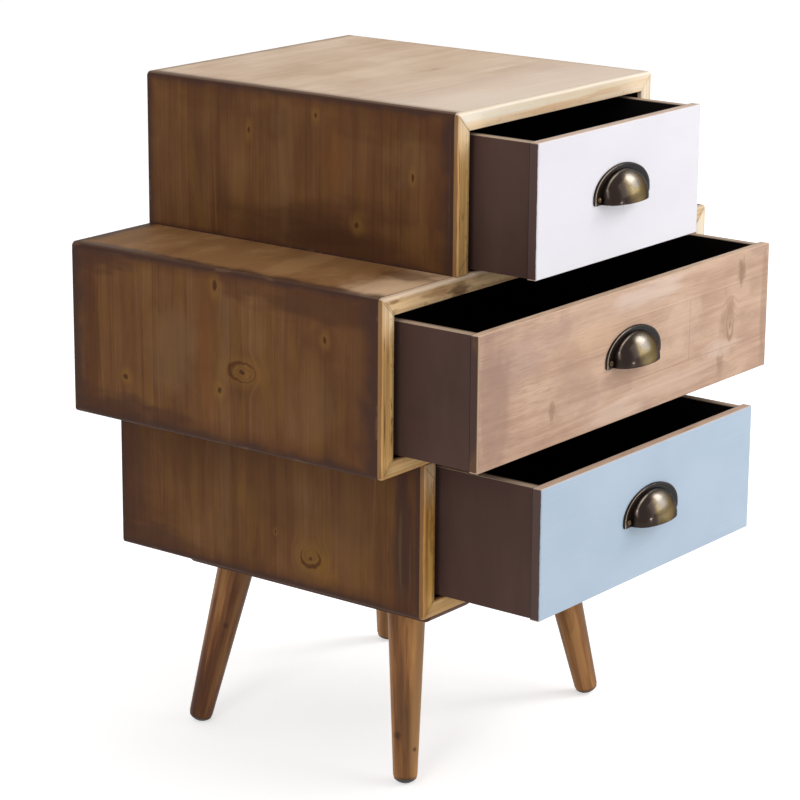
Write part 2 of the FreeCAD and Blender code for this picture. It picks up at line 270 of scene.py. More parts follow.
def stained_board(node, seed, knots=(), smudges=(), reach=(20, 12, 10, 6), ledge=False):
    """Reach is how far the burnishing runs in from the front, back, foot and head, or front, back, left and right."""
    finish = Finish("stained_" + node)
    x, y, z = finish.place
    low, high = corners(node)
    if "side" in node:
        along, depth, limits, inner, outer = z, x, (low.y, high.y, low.z, high.z), low.x, high.x
    else:
        along, depth, limits, inner, outer = x, z, (low.y, high.y, low.x, high.x), low.z, high.z
    from_inside = depth - inner if "right" in node or "top" in node else outer - depth
    grain = finish.grain(y, along, depth, seed, knots=knots)
    finish.colour = grain.shade.ramp(*STAIN)
    finish.lay(DARK_LINE, grain.late * 0.16)
    golden = finish.noise((0.06, 0.012, 0.05), 3, 0.6, at=(y, along, depth))
    finish.lay(GOLD, golden.fade(0.48, 0.66) * 0.45)
    finish.lay(RED, grain.blotch.fade(0.54, 0.7) * 0.2)
    if ledge:
        # The ledge, the top of the middle box beside the upper box, is painted lighter and more golden, and paler
        # again towards the front: painted light over smoky patches of its own.
        smoke = finish.noise((0.014, 0.024, 0.02), 4, 0.6)
        finish.lay((162, 119, 76), 0.6)
        finish.lay((184, 143, 98), smoke.fade(0.5, 0.64) * 0.35)
        finish.lay((112, 74, 42), smoke.fade(0.46, 0.34) * 0.4)
        finish.lay((222, 186, 150), (smoke * -90 + y).fade(-84, -142) * 0.75)
    finish.smudge(y, along, smudges)
    finish.lay(KNOT_HALO, grain.halo * 0.45)
    finish.lay(KNOT_RIM, grain.eye_ring * 0.75)
    finish.lay(KNOT, grain.eye * 0.8)
    finish.lay(DARK_LINE, grain.joint * 0.3)
    inwards = finish.from_edge(y, along, limits, reach, 1.3)
    finish.lay(RED, inwards.fade(2.3, 0.8) * (0 if ledge else 0.4))
    edge = inwards.fade(1.15, 0.15)
    finish.lay(BURNISH, edge * 0.85)
    nick = finish.noise((0.09, 0.012, 0.02), 4, 0.7).fade(0.57, 0.63)
    finish.lay(WORN, finish.from_edge(y, along, limits).fade(3, 0.5) * nick * 0.22)
    # The inside face is painted nearly black: a dark stain with painted shade.
    finish.lay(INSIDE_STAIN_AND_SHADE, from_inside.fade(0.9, 0.4))
    height = grain.fibre - grain.late * 0.4 - grain.joint * 0.6
    dress(node, finish.coat(grain.fibre * 0.2 - edge * 0.1 + 0.52, height, 0.1, gloss=0.08 if ledge else 0.12))


stained_board("upper_side_left_board", 1, reach=(16, 7, 3, 6), knots=[
    (39.3, 571.7, 2.2, 1.8), (112.3, 550.6, 2.4, 2.2), (-62.4, 531.4, 1.8, 2.6), (-4.2, 484, 3.6, 1.2),
], smudges=[
    # The two broad dark spots low on this side, 468 and 470 mm up, are partly stain and partly painted shade where
    # the side meets the ledge.
    (40, 468, 110, 36, 0.75, (70, 40, 22)), (20, 470, 60, 14, 0.45, (62, 34, 19)), (84, 560, 18, 24, 0.45, RED),
    (-86, 512, 12, 32, 0.4, RED), (76, 520, 16, 60, 0.22, GREY), (22, 542, 16, 40, 0.3, ORANGE),
    (-50, 572, 90, 18, 0.4, RED), (-60, 545, 26, 26, 0.25, GREY), (-99.5, 520, 0.9, 90, 0.7, WORN),
    (150, 575, 60, 16, 0.3, RED),
])
stained_board("upper_side_right_board", 2, [(60, 500, 3, 1.6), (150, 545, 2, 2)], [(-20, 475, 50, 20, 0.5, RED)])
stained_board("middle_side_left_board", 3, reach=(22, 16, 9, 6), knots=[
    (66.4, 441, 3.2, 2.2), (167.5, 346, 3.6, 1.05), (38, 371.5, 15.5, 0.56, -0.14, -0.06), (62, 352.1, 3.2, 1.3),
    (-49.7, 412.3, 2.8, 1.6),
], smudges=[
    (115, 376, 32, 48, 0.5, GREY), (77, 385, 8, 80, 0.45, ORANGE), (56, 395, 8, 90, 0.4, GREY),
    (182, 316, 60, 17, 0.7, BURNISH), (179, 451.2, 17, 0.7, 0.7, WORN), (-40, 440, 80, 18, 0.7, (74, 46, 30)),
    (-38, 350, 26, 40, 0.25, GREY), (206, 378, 14, 70, 0.5, RED), (200, 446, 50, 14, 0.6, BURNISH),
    (40, 444, 34, 14, 0.5, RED), (-46, 412, 22, 24, 0.4, RED), (122, 317, 34, 12, 0.45, BURNISH),
])
stained_board("middle_side_right_board", 4, [(10, 400, 12, 0.6, 0.15, 0.1), (120, 350, 2.5, 1.5)])
stained_board("lower_side_left_board", 5, reach=(7, 8, 8, 9), knots=[
    (50.1, 217.1, 1.2, 1.6), (12, 201, 11, 0.82, 0.04, 0.26),
], smudges=[
    (-88, 240, 16, 90, 0.8, BURNISH), (-84, 230, 2, 50, 0.5, (98, 78, 56)), (-94, 215, 1.4, 40, 0.45, (96, 76, 58)),
    (-2, 190, 20, 17, 0.4, (136, 96, 40)), (190, 205, 40, 24, 0.4, RED), (-30, 230, 24, 70, 0.2, GREY),
    (108, 245, 9, 70, 0.4, GREY), (88, 247, 6, 29, 0.42, (132, 94, 42)), (214, 235, 24, 80, 0.5, BURNISH),
    (190, 184, 60, 16, 0.55, BURNISH), (60, 270, 190, 60, 0.25, (74, 46, 27)),
])
stained_board("lower_side_right_board", 6, [(90, 240, 10, 0.8, -0.1, 0.2), (-20, 215, 2, 1.6)])
stained_board("middle_top_board", 7, reach=(1.5, 12, 13, 13), ledge=True, smudges=[
    (-80, -206, 26, 36, 0.4, (232, 198, 162)), (-76, -163, 30, 20, 0.6, (92, 60, 36)),
])
stained_board("middle_bottom_board", 8)
stained_board("lower_bottom_board", 9)

# -------- top board
# The board on top of the upper box is the same softwood under a beige wash, so its grain shows through.
# It is paler towards the front, and its own edges are stained with the sides.
finish = Finish("washed_top")
x, y, z = finish.place
grain = finish.grain(y, x, z, 11, stave=85, wander=16, ring=6, knots=[(42, 26, 3, 3)])
finish.colour = grain.shade.ramp(
    (0.36, (188, 158, 130)), (0.46, (202, 173, 146)), (0.53, (208, 181, 154)), (0.64, (218, 195, 172))
)
finish.lay((178, 146, 116), grain.late * 0.14)
smoke = finish.noise((0.012, 0.022, 0.02), 4, 0.6)
finish.lay((184, 150, 120), smoke.fade(0.52, 0.68) * 0.35)
finish.lay((220, 196, 168), smoke.fade(0.46, 0.34) * 0.25)
finish.lay((166, 130, 102), grain.halo * 0.3)
finish.lay((140, 104, 76), grain.eye * 0.35)
finish.smudge(y, x, [
    (-8, 74, 9, 36, 0.4, (172, 136, 106)), (-31, 96, 6, 24, 0.35, (170, 134, 104)),
    (60, -60, 15, 50, 0.25, (176, 142, 114)), (150, 20, 18, 60, 0.22, (176, 142, 114)),
    (-60, -70, 16, 40, 0.3, (226, 202, 182)), (110, 90, 12, 40, 0.25, (180, 144, 112)),
    (70, -30, 30, 42, 0.5, (224, 200, 172)), (-20, 96, 44, 26, 0.3, (180, 150, 124)),
])
finish.lay((232, 214, 198), (smoke * -120 + y).fade(0, -170) * 0.6)
low, high = corners("upper_top_board")
inwards = finish.from_edge(x, y, (low.x, high.x, low.y - 60, high.y), ragged=14)
finish.lay((160, 138, 108), inwards.fade(14, 1) * 0.4)
creep = finish.noise((0.09, 0.02, 0.05), 4, 0.6)
from_side = x - low.x - creep * 10 - y * 0.014
finish.lay((140, 112, 88), from_side.fade(9, -2) * 0.5)
finish.lay((88, 62, 46), from_side.fade(1, -3) * 0.85)
from_back = high.y - y - creep * 8
finish.lay((120, 92, 72), from_back.fade(4, -2) * 0.5)
finish.lay((140, 114, 90), (creep * 2 + y).fade(low.y + 2.4, low.y + 1) * 0.5)
finish.lay(BURNISH, z.fade(high.z - 0.5, high.z - 2))
# The underside, inside the upper box, is painted nearly black: a dark stain with painted shade.
finish.lay(INSIDE_STAIN_AND_SHADE, z.fade(low.z + 0.9, low.z + 0.4))
dress("upper_top_board", finish.coat(grain.fibre * 0.2 + 0.42, grain.fibre - grain.late * 0.4, 0.1, gloss=0.12))


# -------- front lippings
# Pale fir strips, rounded on the front, are mitred and glued round each opening.
# They are left clear, so they have yellowed unevenly and taken dark marks from handling.
def lipping(node, cream, seed, aged=0, streaks=()):
    """Cream is 1 on the palest strips and 0 on the most golden. Aged is how far the strip has gone orange brown."""
    finish = Finish("fir_" + node)
    x, y, z = finish.place
    upright = "side" in node
    across, along = (x, z) if upright else (z, x)
    grain = finish.grain(across, along, y, seed, stave=400, first=-1000, ring=2.6, wander=3)
    low, high = corners(node)
    low_end, high_end = (low.z, high.z) if upright else (low.x, high.x)
    outer = {"left": (low.x, 1), "right": (high.x, -1), "top": (high.z, -1), "bottom": (low.z, 1)}
    edge, way = outer[node.split("_")[-2]]
    from_outer = (across - edge) * way
    to_end = (along - low_end).least(high_end - along)

    golden = grain.streak.ramp((0.34, (184, 128, 58)), (0.5, (218, 164, 82)), (0.64, (240, 192, 108)))
    pale = grain.streak.ramp((0.34, (248, 224, 190)), (0.5, (255, 240, 214)), (0.64, (255, 248, 234)))
    paler = along.fade(high_end - 50, high_end) * (0.5 - 0.5 * cream) + cream if upright else cream
    finish.colour = finish.mix(paler, golden, pale)
    finish.lay((184, 132, 70), grain.late * (0.3 - 0.2 * cream))
    mottle = finish.noise((0.12, 0.03, 0.2), 3, at=(across, along, y))
    finish.lay((142, 94, 48), mottle.fade(0.56, 0.72) * (0.55 - 0.5 * cream))
    finish.lay((100, 66, 32), (mottle * 18 + to_end).fade(24, 8) * (0.35 - 0.3 * cream))
    mark = finish.noise((0.5, 0.09, 0.6), 4, 0.7, at=(across, along, y)) + from_outer.fade(7, 13) * 0.07
    finish.lay((86, 56, 30), mark.fade(0.65, 0.72) * (0.75 - 0.4 * cream))
    mitred = abs(to_end - from_outer)
    finish.lay((84, 54, 28), mitred.fade(0.8, 0.2) * (0.6 - 0.45 * cream))
    # The rounded outer edge is painted paler: partly worn wood, partly a painted highlight where the round catches
    # the light.
    rounded = (252, 234, 214) if cream > 0.3 and not upright else (222, 174, 112)
    finish.lay(rounded, from_outer.fade(4.2, 2.4) * 0.5)
    finish.lay((248, 206, 152), from_outer.fade(6, 10) * (0 if upright else 0.5 * cream))
    finish.lay((112, 72, 42), (mottle * 1.6 + from_outer).fade(1.9, 1.2) * (0.75 if upright else 0.25))
    finish.lay((120, 82, 44), (mottle * 5 + from_outer).fade(14, 17) * (0.4 - 0.3 * cream))
    finish.lay((128, 84, 40), aged)
    finish.smudge(across, along, streaks)
    dress(node, finish.coat(grain.fibre * 0.2 + 0.45, grain.fibre - grain.late * 0.5, 0.1, gloss=0.15))


RESIN = (122, 70, 26)
lipping("upper_top_lipping", 1, 21, 0, [
    (577, -10, 3.5, 80, 0.5, (226, 168, 108)), (580, 70, 3, 40, 0.35, (214, 158, 104)),
])
lipping("upper_side_left_lipping", 0.12, 22, 0, [
    (-139.6, 545, 0.7, 16, 0.7, RESIN), (-138.8, 500, 0.6, 14, 0.6, RESIN),
])
lipping("upper_side_right_lipping", 0.8, 23)
lipping("middle_top_lipping", 0.35, 24, 0.06, [
    (447, -168, 5, 26, 0.55, (142, 88, 28)), (444, -138, 6, 18, 0.75, (88, 52, 20)),
    (450, -224, 2, 8, 0.6, (126, 84, 40)),
])
lipping("middle_bottom_lipping", 0.2, 25, 0.1)
lipping("middle_side_left_lipping", 0.12, 26, 0, [
    (-235.8, 352, 0.9, 24, 0.85, RESIN), (-232, 408, 0.7, 10, 0.6, RESIN), (-237, 418, 0.8, 8, 0.6, RESIN),
])
lipping("middle_side_right_lipping", 0.9, 27)
lipping("lower_bottom_lipping", 0.15, 28, 0.25)
lipping("lower_side_left_lipping", 0, 29, 0.22, [
    (-162, 250, 0.9, 26, 0.7, RESIN), (-156, 204, 0.8, 12, 0.6, RESIN),
])
lipping("lower_side_right_lipping", 0.4, 30)


# -------- back panels
# Each box is closed at the back by thin birch plywood, set in a rebate and left bare.
# Its rotary-cut face has a broad wandering figure, with a small dimple wherever a pin is punched in.
PIN_SPACING = 0.06
PIN_FROM_EDGE = 0.0035
PIN_DEPTH = 0.0004
PIN_HEAD_RADIUS = 0.0014


def plywood(node, seed):
    finish = Finish("plywood_" + node)
    x, y, z = finish.place
    grain = finish.grain(z, x, y, seed, stave=2000, first=-900, ring=7, wander=34)
    finish.colour = finish.mix(grain.fibre.fade(0.3, 0.7), (176, 142, 104), (198, 168, 130))
    finish.lay((158, 120, 80), grain.late * 0.3)
    finish.lay((162, 126, 90), grain.blotch.fade(0.5, 0.7) * 0.3)
    inner_face = corners(node)[0].y
    # The inner face of the ply is painted nearly black: a dark stain with painted shade.
    finish.lay(INSIDE_STAIN_AND_SHADE, y.fade(inner_face + 0.55, inner_face + 0.15))
    return finish.coat(grain.fibre * 0.2 + 0.55, grain.fibre, 0.06, gloss=0.15)


def placed(name, data):
    """Puts a new object in the scene."""
    thing = bpy.data.objects.new(name, data)
    bpy.context.scene.collection.objects.link(thing)
    return thing


class Jig(Bench):
    """A node tree that sets one shape out at many places. Its sizes are in metres."""

    def __init__(self, name, *sizes):
        super().__init__(bpy.data.node_groups.new(name, "GeometryNodeTree"))
        face = self.tree.interface
        face.new_socket("Places", in_out="INPUT", socket_type="NodeSocketGeometry")
        self.sizes = [face.new_socket(size, in_out="INPUT", socket_type="NodeSocketFloat") for size in sizes]
        self.finish = face.new_socket("Finish", in_out="INPUT", socket_type="NodeSocketMaterial")
        face.new_socket("Work", in_out="OUTPUT", socket_type="NodeSocketGeometry")
        self.outlet = self.tree.nodes.new("NodeGroupOutput")
        inlet = self.tree.nodes.new("NodeGroupInput")
        self.places, *self.given, self.coat = [Step(inlet.outputs[i]) for i in range(len(sizes) + 2)]

    def moved(self, shape, place):
        return self.add("GeometryNodeTransform", {"Geometry": shape, "Translation": place})

    def block(self, x, y, z, place=(0, 0, 0)):
        return self.moved(self.add("GeometryNodeMeshCube", {"Size": vector(x, y, z)}), place)

    def rod(self, radius, long, top, sides=12, foot_radius=None):
        """An upright rod or cone with its upper end at that height."""
        inputs = {"Vertices": sides, "Radius Top": radius, "Radius Bottom": foot_radius or radius, "Depth": long}
        return self.moved(self.add("GeometryNodeMeshCone", inputs, "Mesh"), vector(0, 0, top - long))

    def cut(self, shape, *cutters):
        left = self.add("GeometryNodeMeshBoolean", {0: shape}, operation="DIFFERENCE", solver="EXACT")
        for cutter in cutters:
            feed(left.socket.node.inputs[1], cutter)
        return left

    def together(self, *shapes):
        pile = self.add("GeometryNodeJoinGeometry")
        for shape in shapes:
            feed(pile.socket.node.inputs[0], shape)
        return pile

    def named(self, name):
        return self.add("GeometryNodeInputNamedAttribute", {"Name": name}, data_type="FLOAT_VECTOR")

    def set_out(self, shape):
        turn = self.add("FunctionNodeEulerToRotation", {0: self.named("turn")})
        inputs = {"Points": self.places, "Instance": shape, "Rotation": turn}
        return self.add("GeometryNodeRealizeInstances", {0: self.add("GeometryNodeInstanceOnPoints", inputs)})

    def close(self, shape):
        last = self.add("GeometryNodeSetMaterial", {"Geometry": shape, "Material": self.coat})
        feed(self.outlet.inputs["Work"], last)

    def make(self, name, places, sizes, material):
        """Places are (point, marks) pairs, where marks are the turn and whatever else the jig reads."""
        marks = bpy.data.meshes.new(name + "_marks")
        marks.from_pydata([point for point, _ in places], [], [])
        for key in places[0][1]:
            layer = marks.attributes.new(key, "FLOAT_VECTOR", "POINT")
            for spot, (_, values) in zip(layer.data, places):
                spot.vector = values[key]
        holder = placed(name + "_marks", marks)
        modifier = holder.modifiers.new("jig", "NODES")
        modifier.node_group = self.tree
        for size, value in zip(self.sizes, sizes):
            modifier[size.identifier] = value
        modifier[self.finish.identifier] = material
        ready = holder.evaluated_get(bpy.context.evaluated_depsgraph_get())
        mesh = bpy.data.meshes.new_from_object(ready)
        bpy.data.objects.remove(holder)
        mesh.polygons.foreach_set("use_smooth", [True] * len(mesh.polygons))
        mesh.set_sharp_from_angle(angle=math.radians(30))
        return placed(name, mesh)


panel_jig = Jig(
    "dimpled_panel", "Width", "Thickness", "Height", "Middle y", "Middle z", "Dimple radius", "Dimple depth"
)
width, thickness, tall, middle_y, middle_z, dimple_radius, dimple_depth = panel_jig.given
sheet = panel_jig.block(width, thickness, tall, vector(0, middle_y, middle_z))
punch = panel_jig.rod(dimple_radius, dimple_depth * 2, dimple_depth, 14)
panel_jig.close(panel_jig.cut(sheet, panel_jig.set_out(punch)))

pin_places = []
for name, seed in (("lower", 31), ("middle", 32), ("upper", 33)):
    node = name + "_back_panel"
    low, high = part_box(node)
    middle = (low + high) / 2
    count = round((high.x - low.x) / PIN_SPACING)
    spots = [
        (low.x + (step + 0.5) * (high.x - low.x) / count, z)
        for step in range(count) for z in (low.z + PIN_FROM_EDGE, high.z - PIN_FROM_EDGE)
    ]
    spots += [(x, middle.z) for x in (low.x + PIN_FROM_EDGE, high.x - PIN_FROM_EDGE)]
    places = [((x, high.y, z), {"turn": (-math.pi / 2, 0, 0)}) for x, z in spots]
    sizes = (*(high - low), middle.y, middle.z, PIN_HEAD_RADIUS * 1.15, PIN_DEPTH * 2)
    panel = panel_jig.make(name + "_pinned_panel", places, sizes, plywood(node, seed))
    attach(panel, "cabinet")
    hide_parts(node)
    pin_places += places


# -------- panel pins
# Steel pins hold each back panel in its rebate, one about every 60 mm.
# Each is punched until its head sits in its dimple, just below the face of the ply.
def metal(name, light, dark, roughness):
    """Plated or blackened metal, slightly hazy, with fine turning marks."""
    finish = Finish(name)
    finish.colour = finish.mix(finish.noise((0.5, 0.5, 0.5), 3).fade(0.35, 0.65), light, dark)
    scratch = finish.noise((6, 6, 0.8))
    return finish.coat(scratch * 0.2 + roughness, scratch, 0.02, gloss=0.5, metallic=1)


PIN_HEAD_HEIGHT = 0.0006
PIN_SHANK_RADIUS = 0.0005
PIN_LENGTH = 0.012
zinc = metal("zinc_plate", (178, 176, 170), (138, 134, 126), 0.28)

pin_jig = Jig("panel_pin", "Head radius", "Head height", "Shank radius", "Length")
head_radius, head_height, shank_radius, long = pin_jig.given
head = pin_jig.rod(head_radius * 0.8, head_height, -PIN_DEPTH, 14, head_radius)
shank = pin_jig.rod(shank_radius, long, head_height * -0.9 - PIN_DEPTH, 8)
pin_jig.close(pin_jig.set_out(pin_jig.together(head, shank)))
sizes = (PIN_HEAD_RADIUS, PIN_HEAD_HEIGHT, PIN_SHANK_RADIUS, PIN_LENGTH)
pins = pin_jig.make("back_panel_pins", pin_places, sizes, zinc)
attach(pins, "cabinet")

# -------- box screws and batten screws
# Countersunk steel screws with a cross in the head pull the boxes together and hold the battens up.
# Their heads are set flush in the wood, and the thread is rolled on the lower two thirds of the shank.
screw_jig = Jig("countersunk_screw", "Head radius", "Head height", "Shank radius", "Length", "Pitch")
head_radius, head_height, shank_radius, long, pitch = screw_jig.given
wing, slot, deep = head_radius * 1.15, head_radius * 0.24, head_height * 1.2
head = screw_jig.rod(head_radius, head_height, 0, 28, shank_radius)
head = screw_jig.cut(head, screw_jig.block(wing, slot, deep), screw_jig.block(slot, wing, deep))
core = shank_radius * 0.86
shank = screw_jig.rod(core, long * 0.97, head_height * -0.95, 12, core * 0.5)
threaded = long * 0.62
spiral = screw_jig.add("GeometryNodeCurveSpiral", {
    "Resolution": 10, "Rotations": threaded / pitch, "Height": threaded,
    "Start Radius": core * 0.62, "End Radius": core,
})
ridge = screw_jig.add("GeometryNodeCurvePrimitiveCircle", {"Resolution": 3, "Radius": pitch * 0.22})
thread = screw_jig.add("GeometryNodeCurveToMesh", {0: spiral, 1: ridge, "Fill Caps": True})
thread = screw_jig.moved(thread, vector(0, 0, long * -0.95))
screw_jig.close(screw_jig.set_out(screw_jig.together(head, shank, thread)))


def solids(node):
    """Low and high corner of each separate solid of a CAD node, in order along x, then y, then z."""
    merged = bmesh.new()
    merged.from_mesh(nodes[node].data)
    bmesh.ops.remove_doubles(merged, verts=merged.verts, dist=1e-6)
    waiting, found = set(merged.verts), []
    while waiting:
        island, edge_of = [], [waiting.pop()]
        while edge_of:
            vertex = edge_of.pop()
            island.append(vertex.co.copy())
            for edge in vertex.link_edges:
                other = edge.other_vert(vertex)
                if other in waiting:
                    waiting.remove(other)
                    edge_of.append(other)
        found.append([Vector(pick(point[axis] for point in island) for axis in range(3)) for pick in (min, max)])
    merged.free()
    return sorted(found, key=lambda pair: tuple(round(value, 4) for value in pair[0]))


def driven_in(node):
    """Where the heads of a node of upright screws lie; every one is driven upwards or downwards."""
    places = []
    for number, (low, high) in enumerate(solids(node)):
        centre, radius = (low + high) / 2, (high.x - low.x) / 2
        level = [v.co for v in nodes[node].data.vertices if low.z - 1e-6 <= v.co.z <= high.z + 1e-6]
        rim = [co.z for co in level if abs(math.hypot(co.x - centre.x, co.y - centre.y) - radius) < 2e-4]
        head_up = sum(rim) / len(rim) > centre.z
        turn = (0 if head_up else math.pi, 0, 0.7 * number)
        places.append(((centre.x, centre.y, high.z if head_up else low.z), {"turn": turn}))
    return places


for node, name, sizes in (
    ("box_screws", "box_screw_set", (0.005, 0.003, 0.0025, 0.042, 0.0026)),
    ("batten_screws", "batten_screw_set", (0.004, 0.0024, 0.002, 0.03, 0.0022)),
):
    screws = screw_jig.make(name, driven_in(node), sizes, zinc)
    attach(screws, "cabinet")
    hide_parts(node)

# -------- battens and hanger bolts
# Two dark stained battens run under the lower box, from front to back, and carry the legs.
# A steel hanger bolt joins each leg to its batten.
for node, seed in (("batten_left", 41), ("batten_right", 42)):
    finish = Finish("dark_" + node)
    grain = finish.grain(*finish.place, seed, stave=300, first=-900)
    finish.colour = finish.mix(grain.fibre.fade(0.3, 0.7), (66, 40, 24), (98, 62, 38))
    finish.lay((46, 28, 18), grain.late * 0.5)
    dress(node, finish.coat(grain.fibre * 0.2 + 0.45, grain.fibre, 0.12))
dress("leg_hanger_bolts", zinc)

# -------- legs
# Four softwood legs, turned to a straight taper and oiled, lean outwards in both directions.
# The top of each is sawn level, to sit flat on its batten, and its foot has a small chamfer.
LEG_TOP_RADIUS = 0.0166
LEG_FOOT_RADIUS = 0.0105
LEG_CHAMFER = 0.0008
LEG_TOP_HEIGHT = 0.151
LEG_RUN_ON = 0.0166
BORE_RADIUS = 0.0041
BORE_DEPTH = 0.0351
GLIDE_HEIGHT = 0.0045
GLIDE_RADIUS = 0.0098
LEGS_MIDDLE_Y = 0.05975
TOP_OUT_X, TOP_OUT_Y = 0.1105, 0.0955
FOOT_OUT_X, FOOT_OUT_Y = 0.1375, 0.116

leg_jig = Jig("turned_leg", "Top radius", "Foot radius", "Length", "Run on", "Chamfer", "Bore", "Bore depth", "Level")
top_radius, foot_radius, long, run_on, chamfer, bore, bore_depth, level = leg_jig.given
line = leg_jig.add("GeometryNodeCurvePrimitiveLine", {"Start": (0, 0, 0), "End": vector(0, 0, long + run_on)})
rings = leg_jig.add("GeometryNodeResampleCurve", {"Curve": line, "Count": 48})
place = leg_jig.add("GeometryNodeInputPosition")
up = split(place)[2]
radius = up * ((top_radius - foot_radius) / long) + foot_radius - up.work("LESS_THAN", 1e-5) * chamfer
sized = leg_jig.add("GeometryNodeSetCurveRadius", {"Curve": rings, "Radius": radius})
circle = leg_jig.add("GeometryNodeCurvePrimitiveCircle", {"Resolution": 56, "Radius": 1})
turned = leg_jig.add("GeometryNodeCurveToMesh", {0: sized, 1: circle, "Fill Caps": True, "Scale": radius})
run_in = 0.03
leg = leg_jig.cut(turned, leg_jig.rod(bore, bore_depth + run_in, long + run_in, 20))
inputs = {"Geometry": leg, "Name": "turned", "Value": place}
leg = leg_jig.add("GeometryNodeStoreNamedAttribute", inputs, data_type="FLOAT_VECTOR", domain="POINT")
lean = leg_jig.named("lean")
slide = (up - level).most(0) / split(lean)[2]
shift = leg_jig.add("ShaderNodeVectorMath", {0: lean, "Scale": slide * -1}, operation="SCALE")
leg_jig.close(leg_jig.add("GeometryNodeSetPosition", {"Geometry": leg_jig.set_out(leg), "Offset": shift}))

finish = Finish("oiled_leg", mark="turned")
x, y, z = finish.place
number, tone, dark_wood_and_shade = split(finish.add("ShaderNodeAttribute", out="Vector", attribute_name="figure"))
across, along, depth = number * 37 + x, number * 410 + z, number * 53 + y
cloud = finish.noise((0.02, 0.006, 0.02), 1, at=(across, along, depth))
late = (length(across + 22, cloud * 26 + depth * 0.6) / 6.5).work("FRACT").work("POWER", 2)
fibre = finish.noise((0.6, 0.02, 0.6), 4, 0.65, at=(across, along, depth))
streak = finish.noise((0.085, 0.006, 0.085), 3, at=(across, along, depth))
finish.colour = (streak * 1.35 + fibre * 0.4 - 0.39).ramp(
    (0.34, (184, 132, 80)), (0.44, (154, 102, 58)), (0.52, (132, 83, 46)), (0.6, (106, 62, 32)), (0.7, (74, 40, 22))
)
finish.lay((104, 62, 30), late * 0.3)
# These two layers give each leg its tone: partly its own wood, partly painted light, palest on the right-hand legs,
# and painted shade on the back left one.
finish.lay((200, 152, 96), tone)
finish.lay((84, 50, 26), dark_wood_and_shade)
round_leg = x * 0.61 + y * -0.79
outside = x * -0.79 + y * -0.61
first_leg, second_leg = abs(number).fade(0.5, 0.4), abs(number - 1).fade(0.5, 0.4)
# The front left leg is painted paler on its right half, towards the lamps: painted light.
finish.lay((212, 158, 96), round_leg.fade(1, 7) * first_leg * 0.4)
finish.lay((82, 50, 29), (streak * 10 + round_leg).fade(-2, 6) * second_leg * 0.5)
for leg_number, knot_round, knot_along, size in (
    (0, -7.2, 38, 3.4), (0, 7.6, 26, 1.8), (1, 3, 92, 2.6), (3, -4, 70, 3),
):
    wide, tall = (round_leg - knot_round) / size, (z - knot_along) / (size * 1.3)
    near = (fibre - 0.5) * 1.5 + length(wide, tall, (number - leg_number) * 9)
    finish.lay((62, 34, 16), near.fade(1.2, 0.3) * outside.fade(-2, 2) * 0.75)
finish.lay((70, 44, 26), z.fade(3, 0.5) * 0.5)
leg_finish = finish.coat(fibre * 0.22 + 0.34, fibre - late * 0.4, 0.1, gloss=0.2)

# Each leg's number, then how far it is laid paler and how far darker, partly painted light and shade.
LEG_FIGURES = {
    "leg_front_left": (0, 0.12, 0), "leg_back_left": (1, 0, 0.2),
    "leg_front_right": (2, 0.22, 0), "leg_back_right": (3, 0.3, 0),
}
glide_ball = (GLIDE_RADIUS**2 + GLIDE_HEIGHT**2) / (2 * GLIDE_HEIGHT)
places = []
for node, figure in LEG_FIGURES.items():
    side = -1 if "left" in node else 1
    end = -1 if "front" in node else 1
    top = Vector((side * TOP_OUT_X, LEGS_MIDDLE_Y + end * TOP_OUT_Y, LEG_TOP_HEIGHT))
    ball = Vector((side * FOOT_OUT_X, LEGS_MIDDLE_Y + end * FOOT_OUT_Y, glide_ball))
    lean = (top - ball).normalized()
    foot = ball - lean * (glide_ball - GLIDE_HEIGHT)
    turn = Vector((0, 0, 1)).rotation_difference(lean).to_euler()
    places.append((foot, {"turn": turn, "lean": lean, "figure": figure}))
    leg_length = (top - foot).length
sizes = (
    LEG_TOP_RADIUS, LEG_FOOT_RADIUS, leg_length, LEG_RUN_ON, LEG_CHAMFER, BORE_RADIUS, BORE_DEPTH, LEG_TOP_HEIGHT,
)
legs = leg_jig.make("turned_legs", places, sizes, leg_finish)
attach(legs, "cabinet")
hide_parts(*LEG_FIGURES)

# -------- glides
# A domed black plastic glide is pressed into the foot of each leg.
# It is moulded with a fine spark texture, and is scuffed grey where it slides.
finish = Finish("glide_plastic")
scuff = finish.place[2].fade(2.2, 0.2)
finish.colour = finish.mix(scuff * 0.6, (30, 24, 22), (92, 84, 78))
dress("leg_glides", finish.coat(scuff * 0.25 + 0.45, finish.noise((2.4, 2.4, 2.4)), 0.05, gloss=0.4))

# -------- runners and stops
# Plain planed softwood strips in each box: an L-shaped runner at each side, and two stops behind the drawer.
# They are glued and pinned in place, and left bare.
for seed, node in (
    (51, "lower_runners"), (55, "lower_stops"), (52, "middle_runners"), (56, "middle_stops"),
    (53, "upper_runners"), (57, "upper_stops"),
):
    finish = Finish("planed_" + node)
    grain = finish.grain(*finish.place, seed, stave=500, first=-1300, ring=3.4)
    finish.colour = finish.mix(grain.fibre.fade(0.3, 0.7), (150, 114, 70), (182, 146, 100))
    finish.lay((128, 90, 50), grain.late * 0.45)
    dress(node, finish.coat(grain.fibre * 0.2 + 0.5, grain.fibre, 0.1))
